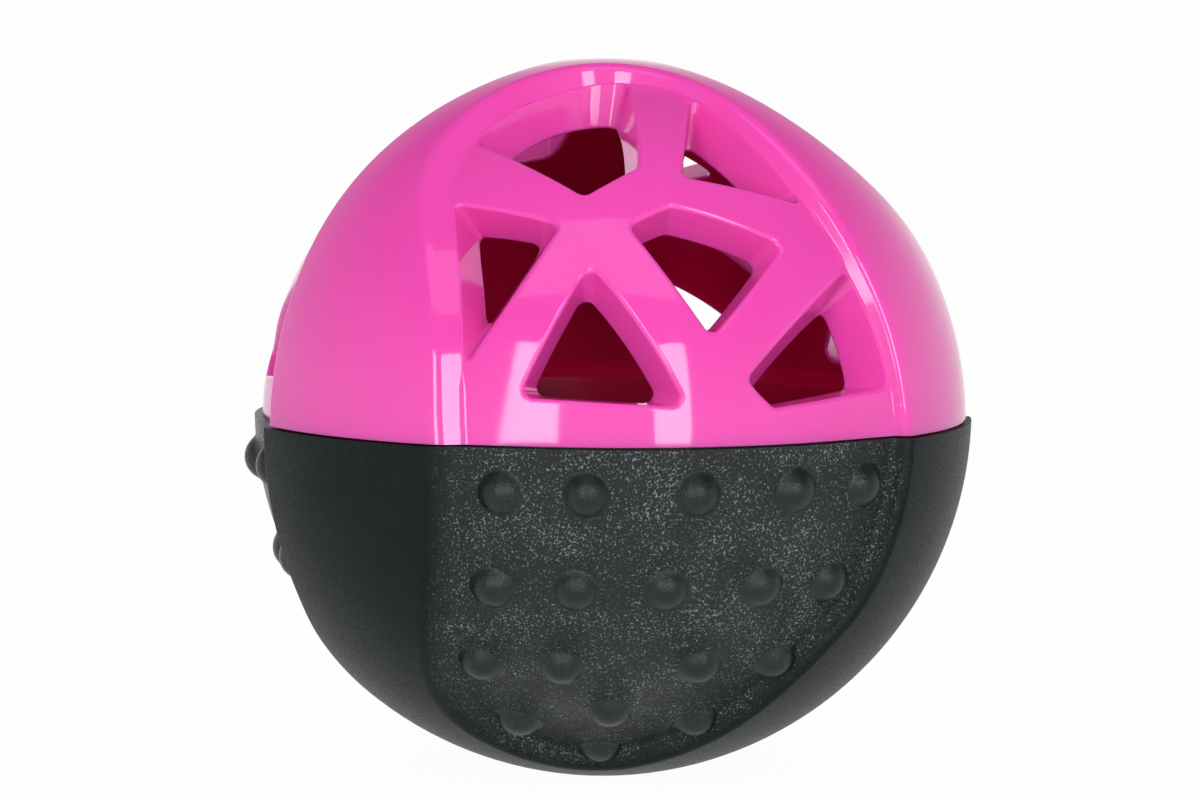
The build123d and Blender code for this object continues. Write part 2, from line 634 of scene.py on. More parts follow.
def ball(radius: float) -> Callable:
    """Returns the face of a sphere: its points and normals in given directions."""
    return lambda directions: (radius * directions, directions)


def seam_arc(start: Points, end: Points, spacing: float) -> Points:
    """Points on a level arc about the axis between two points, ends left out.

    Args:
        start: First end of the arc.
        end: Last end of the arc.
        spacing: Distance between the points.

    Returns:
        The points between the ends.
    """
    first, last = math.atan2(start[0], -start[1]), math.atan2(end[0], -end[1])
    last += 2 * math.pi * round((first - last) / (2 * math.pi))
    radius = math.hypot(start[0], start[1])
    count = max(2, int(abs(last - first) * radius / spacing))
    angle = np.linspace(first, last, count + 1)[1:-1]
    return np.column_stack([radius * np.sin(angle), -radius * np.cos(angle), np.full(len(angle), start[2])])


def on_chart(points: Points) -> Points:
    """Flattens points of a half ball, seen from its pole."""
    directions = unit(points)
    return directions[:, :2] / (1 + directions[:, 2:])


def off_chart(flat: Points) -> Points:
    """Returns the directions of flat chart points."""
    square = (flat**2).sum(1, keepdims=True)
    return np.column_stack([2 * flat, 1 - square]) / (1 + square)


# Finishes


def linear(code: str) -> tuple[float, float, float, float]:
    """Turns an sRGB hex colour into linear red, green, blue and full alpha."""
    parts = [int(code[i : i + 2], 16) / 255 for i in (1, 3, 5)]
    return (*[p / 12.92 if p <= 0.04045 else ((p + 0.055) / 1.055) ** 2.4 for p in parts], 1.0)


def add_node(tree: bpy.types.NodeTree, kind: str, settings: dict | None = None,
             **links: bpy.types.NodeSocket) -> bpy.types.Node:
    """Adds a node with its settings and links.

    Args:
        tree: The node tree.
        kind: Blender's name for the node.
        settings: Properties by name, and input values by socket name or number.
        **links: Output sockets by the input they go to: its name with underscores for spaces, or i and
            its number.

    Returns:
        The new node.
    """
    node = tree.nodes.new(kind)
    for key, value in (settings or {}).items():
        if isinstance(key, str) and hasattr(node, key):
            setattr(node, key, value)
        else:
            node.inputs[key].default_value = value
    for key, source in links.items():
        name = int(key[1:]) if key[0] == "i" and key[1:].isdigit() else key.replace("_", " ")
        tree.links.new(source, node.inputs[name])
    return node


def new_finish(name: str, **values: float | tuple) -> tuple:
    """Starts a material.

    Args:
        name: Its name.
        **values: Numbers of its shader, by socket name with underscores for spaces.

    Returns:
        The material, its node tree, the shader's inputs and the socket of the piece's own coordinates.
    """
    material = bpy.data.materials.new(name)
    material.use_nodes = True
    tree = material.node_tree
    inputs = tree.nodes["Principled BSDF"].inputs
    for label, value in values.items():
        inputs[label.replace("_", " ")].default_value = value
    return material, tree, inputs, add_node(tree, "ShaderNodeTexCoord").outputs["Object"]


@dataclass(frozen=True)
class MouldedPink:
    """Injection moulded polypropylene with a polished face: even colour, clear window reflections."""

    name: str = "glossy_pink_polypropylene"
    colour: str = "#EC4FB4"
    deep: str = "#E748AD"
    roughness: float = 0.06
    scuffing: float = 0.03
    ior: float = 1.49
    scatter: float = 0.5
    scatter_depth: float = 3 * MM
    scatter_colours: tuple = (1.0, 0.25, 0.6)
    cloud_size: float = 14 * MM
    ripple_size: float = 2.6 * MM
    ripple_depth: float = 0.004 * MM
    ripple_strength: float = 0.6
    scuff_size: float = 0.9 * MM
    scuff_span: tuple = (0.35, 0.75)

    def material(self) -> bpy.types.Material:
        """Makes the finish.

        Returns:
            The new material.
        """
        material, tree, shader, place = new_finish(
            self.name, IOR=self.ior, Subsurface_Weight=self.scatter, Subsurface_Radius=self.scatter_colours,
            Subsurface_Scale=self.scatter_depth)
        clouds = {"Scale": 1 / self.cloud_size, "Detail": 2.0}
        cloud = add_node(tree, "ShaderNodeTexNoise", clouds, Vector=place)
        tints = {6: linear(self.colour), 7: linear(self.deep)}
        tint = add_node(tree, "ShaderNodeMix", {"data_type": "RGBA", **tints}, Factor=cloud.outputs["Fac"])
        tree.links.new(tint.outputs[2], shader["Base Color"])
        scuffs = {"Scale": 1 / self.scuff_size, "Detail": 3.0}
        scuff = add_node(tree, "ShaderNodeTexNoise", scuffs, Vector=place)
        faint, full = self.scuff_span
        spread = {1: faint, 2: full, 3: self.roughness, 4: self.roughness + self.scuffing}
        rough = add_node(tree, "ShaderNodeMapRange", spread, Value=scuff.outputs["Fac"])
        tree.links.new(rough.outputs[0], shader["Roughness"])
        ripples = {"Scale": 1 / self.ripple_size, "Detail": 1.0}
        ripple = add_node(tree, "ShaderNodeTexNoise", ripples, Vector=place)
        relief = {"Strength": self.ripple_strength, "Distance": self.ripple_depth}
        bump = add_node(tree, "ShaderNodeBump", relief, Height=ripple.outputs["Fac"])
        tree.links.new(bump.outputs[0], shader["Normal"])
        return material


@dataclass(frozen=True)
class MouldedRubber:
    """Black thermoplastic rubber from a spark-eroded mould.

    The recesses keep the mould's rough, bumpy grain, with painted glints as light flecks and a ground
    lightened by painted sheen;
    what stands proud is rubbed to a dark satin with faint painted glints.
    """

    centre_z: float
    proud: float
    recessed: float
    name: str = "moulded_black_rubber"
    colour: str = "#0A1112"
    worn: str = "#121B1C"
    painted_grain_sheen: str = "#292D2D"
    rubbed_painted_glint: str = "#1B2425"
    painted_glint: str = "#879191"
    painted_glint_from: float = 0.572
    painted_glint_edge: float = 0.12
    glint_gathering: float = 0.05
    rubbed_roughness: float = 0.45
    roughness: float = 0.22
    raggedness: float = 0.1
    ior: float = 1.5
    gloss: float = 0.12
    grain_size: float = 0.29 * MM
    rubbed_depth: float = 0.03 * MM
    grain_depth: float = 0.3 * MM
    bloom_size: float = 6 * MM
    noise_span: tuple = (0.3, 0.7)

    def material(self) -> bpy.types.Material:
        """Makes the finish.

        Returns:
            The new material.
        """
        material, tree, shader, place = new_finish(self.name, IOR=self.ior, Specular_IOR_Level=self.gloss)
        centre = {"operation": "SUBTRACT", 1: (0.0, 0.0, self.centre_z)}
        arm = add_node(tree, "ShaderNodeVectorMath", centre, i0=place)
        reach = add_node(tree, "ShaderNodeVectorMath", {"operation": "LENGTH"}, i0=arm.outputs["Vector"])
        depths = {1: self.proud, 2: self.recessed}
        low = add_node(tree, "ShaderNodeMapRange", depths, Value=reach.outputs["Value"]).outputs[0]
        patches = {"Scale": 1 / self.bloom_size, "Detail": 4.0, "Roughness": 0.6}
        bloom = add_node(tree, "ShaderNodeTexNoise", patches, Vector=place).outputs["Fac"]
        faint, full = self.noise_span
        grit = {"Scale": 1 / self.grain_size, "Detail": 2.0, "Roughness": 0.7}
        grain = add_node(tree, "ShaderNodeTexNoise", grit, Vector=place).outputs["Fac"]

        tints = {6: linear(self.colour), 7: linear(self.worn)}
        tint = add_node(tree, "ShaderNodeMix", {"data_type": "RGBA", **tints}, Factor=bloom)
        # The ground is lightened in the recesses: painted sheen, standing in for the grain's reflection, as
        # the gloss is one value all over.
        sheen_lift = {"data_type": "RGBA", 7: linear(self.painted_grain_sheen)}
        ground = add_node(tree, "ShaderNodeMix", sheen_lift, Factor=low, i6=tint.outputs[2])
        # Light flecks, gathered in patches, are painted glints: bright in the recesses, faint on the rubbed
        # bands.
        glints = {6: linear(self.rubbed_painted_glint), 7: linear(self.painted_glint)}
        glint = add_node(tree, "ShaderNodeMix", {"data_type": "RGBA", **glints}, Factor=low)
        heaps = {1: faint, 2: full, 3: -self.glint_gathering, 4: self.glint_gathering}
        gather = add_node(tree, "ShaderNodeMapRange", heaps, Value=bloom)
        heap = add_node(tree, "ShaderNodeMath", {"operation": "ADD"}, i0=grain, i1=gather.outputs[0])
        crest = {1: self.painted_glint_from, 2: self.painted_glint_from + self.painted_glint_edge}
        high = add_node(tree, "ShaderNodeMapRange", crest, Value=heap.outputs[0])
        glint_painted = add_node(tree, "ShaderNodeMix", {"data_type": "RGBA"}, Factor=high.outputs[0],
                           i6=ground.outputs[2], i7=glint.outputs[2])
        tree.links.new(glint_painted.outputs[2], shader["Base Color"])

        satins = {3: self.rubbed_roughness, 4: self.roughness}
        satin = add_node(tree, "ShaderNodeMapRange", satins, Value=low)
        spread = {1: faint, 2: full, 3: self.raggedness, 4: -self.raggedness}
        ragged = add_node(tree, "ShaderNodeMapRange", spread, Value=grain)
        rough = add_node(tree, "ShaderNodeMath", {"operation": "ADD"}, i0=satin.outputs[0],
                         i1=ragged.outputs[0])
        tree.links.new(rough.outputs[0], shader["Roughness"])
        reliefs = {3: self.rubbed_depth, 4: self.grain_depth}
        relief = add_node(tree, "ShaderNodeMapRange", reliefs, Value=low)
        bump = add_node(tree, "ShaderNodeBump", {"Strength": 1.0}, Distance=relief.outputs[0], Height=grain)
        tree.links.new(bump.outputs[0], shader["Normal"])
        return material


@dataclass(frozen=True)
class MouldedBlack:
    """Black polypropylene with a satin mould finish, its fine grain drawn coarse enough to show."""

    name: str = "satin_black_polypropylene"
    colour: str = "#2B2D2E"
    smoothest: float = 0.34
    roughest: float = 0.5
    ior: float = 1.49
    grain_size: float = 0.6 * MM
    grain_depth: float = 0.01 * MM
    grain_strength: float = 0.5

    def material(self) -> bpy.types.Material:
        """Makes the finish.

        Returns:
            The new material.
        """
        material, tree, shader, place = new_finish(self.name, IOR=self.ior, Base_Color=linear(self.colour))
        grit = {"Scale": 1 / self.grain_size, "Detail": 2.0}
        grain = add_node(tree, "ShaderNodeTexNoise", grit, Vector=place).outputs["Fac"]
        rough = add_node(tree, "ShaderNodeMapRange", {3: self.smoothest, 4: self.roughest}, Value=grain)
        tree.links.new(rough.outputs[0], shader["Roughness"])
        relief = {"Strength": self.grain_strength, "Distance": self.grain_depth}
        bump = add_node(tree, "ShaderNodeBump", relief, Height=grain)
        tree.links.new(bump.outputs[0], shader["Normal"])
        return material


# The two halves


@dataclass(kw_only=True)
class HalfBall:
    """What both halves share: smooth bands, recessed panels between them, and a flat seam.

    Points are measured from the half's own sphere centre with its pole up. Each station of the recess wall is
    a point of its rim and one of its foot, in millimetres on a drawing plane square to the panel.
    """

    half: Half
    center_z: float
    seam_z: float
    band_radius: float
    panel_radius: float
    bore: float
    edge_round: float
    foot_round: float
    stations: tuple
    lift: float = 0.0
    lift_way: tuple = (0.88, 0.475)
    lift_from: float = 8 * MM
    lift_run: float = 20 * MM
    lift_left: float = 0.0
    lift_left_from: float = 10 * MM
    lift_left_run: float = 24 * MM
    edge_lean: float = 0.36
    edge_bend: float = 5 * MM
    panels: int = 3
    tilt: float = 36.0
    draw_point: float = 6 * MM
    drawing_plane: float = 44.35 * MM
    spacing: float = 1.0 * MM
    station_steps: int = 50
    edge_facets: int = 8
    foot_facets: int = 6
    settling: int = 5
    loop_count: int = 280
    segments: int = 180

    @property
    def seam(self) -> float:
        """Height of the seam over the sphere's centre."""
        return (self.seam_z - self.center_z) * self.half.value

    @property
    def pitch(self) -> float:
        """Degrees from one panel to the next."""
        return 360 / self.panels

    def flattened(self, points: Points) -> tuple[Points, Points]:
        """Draws points on the drawing plane, seen from the draw point.

        Args:
            points: The points.

        Returns:
            Flat points, and how much smaller the drawing is at each point than on the plane.
        """
        level, uphill, normal = axes_towards(0, self.tilt)
        scale = np.maximum(points @ normal - self.draw_point, MM) / (self.drawing_plane - self.draw_point)
        return np.column_stack([points @ level, points @ uphill]) / scale[:, None], scale

    def panel_reach(self, flat: Points) -> Points:
        """Measures how far the panel's face lies from the centre.

        Args:
            flat: Points on the drawing plane.

        Returns:
            The distance at each point.
        """
        climb = np.clip((flat @ np.array(self.lift_way) - self.lift_from) / self.lift_run, 0, 1)
        leftward = self.edge_lean * np.minimum(flat[:, 1] + self.edge_bend, 0) - flat[:, 0]
        back = np.clip((leftward - self.lift_left_from) / self.lift_left_run, 0, 1)
        return self.panel_radius + self.lift * climb**2 + self.lift_left * back**2

    def raised(self, flat: Points, reach: Points | float) -> Points:
        """Puts points of the drawing back at a distance from the centre.

        Args:
            flat: Points on the drawing plane.
            reach: Distance from the centre, one for all or one for each.

        Returns:
            The points.
        """
        level, uphill, normal = axes_towards(0, self.tilt)
        way = flat[:, :1] * level + flat[:, 1:] * uphill + (self.drawing_plane - self.draw_point) * normal
        square, along = (way**2).sum(1), way @ normal * self.draw_point
        root = np.sqrt(along**2 - square * (self.draw_point**2 - reach**2))
        return normal * self.draw_point + ((root - along) / square)[:, None] * way

    def panel_points(self, directions: Points) -> Points:
        """Finds points of the front panel's face.

        Args:
            directions: Directions from the centre, one a row.

        Returns:
            The face's point in each direction.
        """
        reach = np.full(len(directions), self.panel_radius)
        for _ in range(self.settling):
            reach = self.panel_reach(self.flattened(directions * reach[:, None])[0])
        return directions * reach[:, None]

    def panel_face(self, directions: Points) -> tuple[Points, Points]:
        """Finds points and normals of the front panel's face.

        Args:
            directions: Directions from the centre, one a row.

        Returns:
            The face's point and its normal in each direction.
        """
        tiny, step = 1e-9, 1e-3
        across = unit(np.cross(directions, np.array([0.0, 0.0, 1.0])) + tiny)
        along = np.cross(directions, across)
        runs = []
        for way in (across, along):
            ahead, behind = unit(directions + step * way), unit(directions - step * way)
            runs.append(self.panel_points(ahead) - self.panel_points(behind))
        normals = unit(np.cross(*runs))
        normals *= np.sign((normals * directions).sum(1, keepdims=True))
        return self.panel_points(directions), normals

    def courses(self) -> tuple[Points, Points]:
        """Returns the rim and the foot of the front panel's recess wall on the drawing plane."""
        stops = np.array(self.stations, float) * MM
        return through(stops[:, :2], self.station_steps), through(stops[:, 2:], self.station_steps)

    def foot_rounds(self, foot: Points) -> Points:
        """Returns the size of the round at each point of the recess wall's foot."""
        return np.full((len(foot), 1), self.foot_round)

    def wall_lines(self) -> list[Loop]:
        """Lines down the front panel's recess wall, with the rounds at its rim and foot.

        Returns:
            The lines in order, from the band to the panel.
        """
        rim_flat, foot_flat = self.courses()
        rim = self.raised(rim_flat, self.band_radius)
        foot = self.raised(foot_flat, self.panel_reach(foot_flat))
        middle = axes_towards(0, self.tilt)[2] * self.panel_radius

        def sideways(line: Points) -> Points:
            """Returns the direction along the face, out of the recess, at each point of a line."""
            across = unit(np.cross(unit(line), np.gradient(line, axis=0)))
            return across * np.sign((across * (line - middle)).sum(1, keepdims=True))

        down = unit(foot - rim)
        wall = unit(np.cross(np.gradient(rim + foot, axis=0), down))
        wall *= -np.sign((wall * sideways(rim)).sum(1, keepdims=True))
        on_band = self.band_radius * unit(rim + self.edge_round * sideways(rim))
        soft = self.foot_rounds(foot)
        on_panel, panel_normals = self.panel_face(unit(foot - soft * sideways(foot)))
        top, bottom = Loop(rim + self.edge_round * down, wall), Loop(foot - soft * down, wall)
        lines = rounding(Loop(on_band, unit(on_band)), rim, top, self.edge_facets)
        lines += rounding(bottom, foot, Loop(on_panel, panel_normals), self.foot_facets)
        return [line.above(self.seam, self.loop_count) for line in lines]

    def panel_seam(self, start: Points, end: Points) -> Points:
        """Points of the panel's lower edge between two of its points, ends left out.

        Args:
            start: First end of the edge.
            end: Last end of the edge.

        Returns:
            The points between the ends.
        """
        points = seam_arc(start, end, self.spacing)
        for _ in range(self.settling):
            reach = self.panel_reach(self.flattened(points)[0])
            level = np.sqrt(reach**2 - self.seam**2)
            points[:, :2] = unit(points[:, :2]) * level[:, None]
        return points

    def patch(self, skin: Skin, face: Callable, outline: Points, holes: list[Points], slot: int = 0,
              inward: bool = False) -> None:
        """Adds a piece of a face inside an outline.

        Args:
            skin: The skin it goes to.
            face: Gives the face's points and normals in given directions.
            outline: Points of its edge.
            holes: Points of the edge of each hole.
            slot: Its material slot.
            inward: Whether it faces the centre.
        """
        spacing = self.spacing / self.panel_radius
        flat, faces, origin = fill(on_chart(outline), [on_chart(h) for h in holes], spacing)
        points, normals = face(off_chart(flat))
        edges = np.vstack([outline, *holes])
        for i, source in enumerate(origin):
            if source >= 0:
                points[i] = edges[source]
        skin.add(points, normals * (-1.0 if inward else 1.0), faces, slot)

    def outside(self, panel_holes: list[Points]) -> Skin:
        """The outer surface with its seam face.

        Args:
            panel_holes: Edges of the holes in the front panel.

        Returns:
            The skin of the whole half's outside.
        """
        lines = self.wall_lines()
        sector = Skin()
        sector.strip(lines, closed=False)
        foot = lines[-1].points
        floor = self.panel_seam(foot[-1], foot[0])
        self.patch(sector, self.panel_face, np.vstack([foot, floor]), panel_holes)
        skin = Skin()
        skin.repeated(sector, self.panels)
        band, seam_edge = [], []
        rim = lines[0].points
        first, last = (np.array([line.points[end] for line in lines]) for end in (0, -1))
        for k in range(self.panels):
            turn = self.pitch * k
            here, after = turned(rim, turn), turned(rim, turn + self.pitch)
            between = seam_arc(here[-1], after[0], self.spacing)
            band += [here, between]
            left, right = turned(first, turn), turned(last, turn)
            seam_edge += [left, turned(floor[::-1], turn), right[::-1], between]
        self.patch(skin, ball(self.band_radius), np.vstack(band), [])
        edge = np.vstack(seam_edge)
        bore = ring(self.bore, self.seam, (0.0, -1.0), self.segments).points
        flat, faces, _ = fill(edge[:, :2], [bore[:, :2]], 2 * self.spacing)
        points = np.column_stack([flat, np.full(len(flat), self.seam)])
        skin.add(points, np.tile([0.0, 0.0, -1.0], (len(points), 1)), faces)
        return skin


@dataclass(kw_only=True)
class OpenworkDome(HalfBall):
    """The hard upper half: a lattice of bars round windows, and the plug that goes into the bowl.

    A window is its draw direction, degrees to the right and up, and its corners in millimetres on the plane
    square to that direction.
    """

    half: Half = Half.UPPER
    center_z: float = -1.0 * MM
    seam_z: float = 0.0
    panel_radius: float = 41.6 * MM
    edge_round: float = 0.9 * MM
    foot_round: float = 0.45 * MM
    lift: float = 1.1 * MM
    lift_left: float = 0.85 * MM
    stations: tuple = (
        (-62, -60, -57, -60.5),
        (-48.5, -29.5, -43.2, -30.5),
        (-41.9, -14.5, -36.9, -14.2),
        (-38.8, -2, -33.9, -1.5),
        (-38.6, 10, -33.6, 9.5),
        (-38.9, 22, -33.8, 19.5),
        (-35.8, 32, -31, 28.8),
        (-28.5, 40.8, -25.5, 38.5),
        (-16, 49, -15, 47.6),
        (-4, 51, -4, 49.8),
        (6, 44, 5.4, 42.9),
        (11.8, 35, 11.2, 34.2),
        (16.4, 24.5, 15.2, 23.7),
        (21.5, 12.6, 20.3, 11.9),
        (28.2, 1, 27.2, 0.5),
        (36.8, -11.3, 36, -11.7),
        (44.5, -23.4, 43.9, -23.7),
        (48.3, -29.5, 47.7, -29.8),
        (68, -60, 67.4, -60.2),
    )
    inner_radius: float = 36.7 * MM
    window_draft: float = 18.0
    window_stand_off: float = 0.5 * MM
    window_corner: float = 1.1 * MM
    window_ledge: float = 0.35 * MM
    window_flare: float = 0.05
    window_round: float = 0.5 * MM
    tight_round: float = 0.06 * MM
    widest: float = 0.9
    window_points: int = 170
    window_facets: int = 5
    lining_facets: int = 4
    search_spread: float = 0.6
    search_steps: int = 61
    field_steps: int = 5
    windows: tuple = (
        (-12, 48, ((-22, 13.7), (-3.7, -2.1), (3.1, 3.0), (6, 42))),
        (14, 44, ((13, 42), (-4.5, 4.2), (24, -4.9))),
        (-18, 27, ((-27, 19), (-18.2, -18), (-2.4, 9.2))),
        (-5, 20, ((-7.5, 10.3), (-18.8, -7.9), (4.1, -9.3))),
        (3, 33, ((-7.7, 5.3), (0.8, -11), (13.7, 2.9), (-1.3, 7.9))),
        (6, 20, ((30, 22), (2.1, -5.8), (6, -9.7), (40, -6))),
    )
    plug_radius: float = 36.6 * MM
    plug_bore: float = 34.6 * MM
    plug_length: float = 7 * MM
    lead_in: float = 0.8 * MM
    shoulder: float = 1.2 * MM
    waist: float = 3.2 * MM
    key_width: float = 6 * MM
    key_reach: float = 1.4 * MM
    key_foot: float = 1 * MM
    bore: float = plug_radius

    def window_draw(self, azimuth: float, elevation: float, corners: tuple) -> Draw:
        """One window as it is drawn through the lattice.

        Args:
            azimuth: Draw direction of its walls, degrees to the right.
            elevation: The same, degrees up.
            corners: Its corners on the plane square to that direction, in millimetres.

        Returns:
            The window as a draw.
        """
        shape = Outline(corners, self.window_corner)
        return Draw(shape, azimuth, elevation, self.panel_radius + self.window_stand_off, self.window_draft)

    def foot_rounds(self, foot: Points) -> Points:
        """Sizes the round at the recess wall's foot, tight along a window.

        Args:
            foot: Points of the foot in order.

        Returns:
            The round's size at each point.
        """
        past = np.column_stack([self.window_draw(*w).signed(foot) for w in self.windows]).min(1)
        share = np.clip(past / self.window_corner, 0, 1)[:, None]
        return self.tight_round + (self.foot_round - self.tight_round) * share

    def window(self, own: Draw, recess: Field) -> Cutter:
        """One window of the front panel, held inside the recess.

        Args:
            own: The window as it is drawn.
            recess: What lies inside the recess wall's foot.

        Returns:
            The window as a cutter.
        """
        level, uphill, normal = axes_towards(own.azimuth, own.elevation)
        spread = np.linspace(-self.search_spread, self.search_spread, self.search_steps)
        across, up = (g.ravel()[:, None] for g in np.meshgrid(spread, spread))
        tries = self.panel_points(unit(normal + level * across + uphill * up))
        deepest = np.maximum(own.signed(tries), recess.signed(tries)).argmin()
        return Cutter(unit(tries[deepest]), (own, recess), self.window_corner)

    def window_lines(self, cutter: Cutter, recess: Field) -> list[Loop]:
        """Lines through a window's wall, from the panel's face to the inside.

        Args:
            cutter: The window.
            recess: What lies inside the recess wall's foot.

        Returns:
            The lines, each a ring.
        """
        angles = cutter.even_angles(self.panel_points, self.window_points, self.widest)
        outer = cutter.edge(self.panel_points, angles, self.widest)
        inner = cutter.edge(lambda way: self.inner_radius * way, angles, self.widest)
        down = unit(inner - outer)
        wall = -cutter.out_of((outer + inner) / 2)
        clear = np.clip(-recess.signed(outer) / self.window_corner, 0, 1)[:, None]
        soft = self.tight_round + (self.window_round - self.tight_round) * clear
        face, normals = self.panel_face(unit(outer + soft * cutter.side(outer)))
        back = self.inner_radius * unit(inner + self.window_round * cutter.side(inner))
        top, bottom = Loop(outer + soft * down, wall), Loop(inner - self.window_round * down, wall)
        lines = rounding(Loop(face, normals), outer, top, self.window_facets)
        lines += rounding(bottom, inner, Loop(back, -unit(back)), self.lining_facets)
        return lines

    def waist_ring(self) -> tuple[float, float]:
        """Returns the radius and height of the edge where the inside meets the plug's shoulder."""
        height = self.waist - self.center_z
        return math.sqrt(self.inner_radius**2 - height**2), height

    def build(self, finish: bpy.types.Material, within: bpy.types.Material) -> bpy.types.Object:
        """Builds the dome with its plug and keys.

        Args:
            finish: Material of its polished outside.
            within: Material of its inside, a deeper, redder pink that is painted shade.

        Returns:
            The dome.
        """
        foot = self.courses()[1][:: self.station_steps // self.field_steps]
        recess = Field(self, foot, self.window_ledge, self.window_flare)
        cutters = [self.window(self.window_draw(*w), recess) for w in self.windows]
        windows = [self.window_lines(cutter, recess) for cutter in cutters]
        skin = self.outside([lines[0].points for lines in windows])
        walls = Skin()
        for lines in windows:
            walls.strip(lines, closed=True)
        skin.repeated(walls, self.panels)
        waist = ring(*self.waist_ring(), (-1.0, 0.0), self.segments).points
        holes = [turned(lines[-1].points, self.pitch * k) for k in range(self.panels) for lines in windows]
        # The inside takes slot 1, the pink deepened with painted shade.
        self.patch(skin, ball(self.inner_radius), waist, holes, slot=1, inward=True)
        self.plug(skin)
        self.keys(skin)
        return skin.piece("pink_dome", self.half, self.center_z, [finish, within])

    def plug(self, skin: Skin) -> None:
        """Adds the plug, its outside polished and its bore not, the bore in the inside's deeper pink of
        painted shade.

        Args:
            skin: The dome's skin.
        """
        seam, foot = self.seam, self.seam - self.plug_length
        outside = ((self.plug_radius, seam), (self.plug_radius, foot + self.lead_in),
                   (self.plug_radius - self.lead_in, foot), (self.plug_bore, foot))
        within = ((self.plug_bore, foot), (self.plug_bore, seam + self.shoulder), self.waist_ring())
        for slot, run in enumerate((outside, within)):
            for a, b in zip(run, run[1:]):
                length = math.dist(a, b)
                out = ((a[1] - b[1]) / length, (b[0] - a[0]) / length)
                skin.strip([ring(*end, out, self.segments) for end in (a, b)], True, slot)

    def keys(self, skin: Skin) -> None:
        """Adds the keys on the plug, one behind each band.

        Args:
            skin: The dome's skin.
        """
        sector = Skin()
        half = self.key_width / 2
        bottom = self.seam + self.key_foot - self.plug_length
        spans = ((-half, half), (self.plug_bore, self.plug_radius + self.key_reach), (bottom, self.seam))
        for axis in range(3):
            u, v = (axis + 1) % 3, (axis + 2) % 3
            for side, way in zip(spans[axis], (-1.0, 1.0)):
                points, normals = np.zeros((4, 3)), np.zeros((4, 3))
                points[:, axis], normals[:, axis] = side, way
                points[:, u] = [spans[u][0], spans[u][1], spans[u][1], spans[u][0]]
                points[:, v] = [spans[v][0], spans[v][0], spans[v][1], spans[v][1]]
                sector.add(points, normals, [[0, 1, 2, 3]])
        skin.repeated(sector, self.panels)


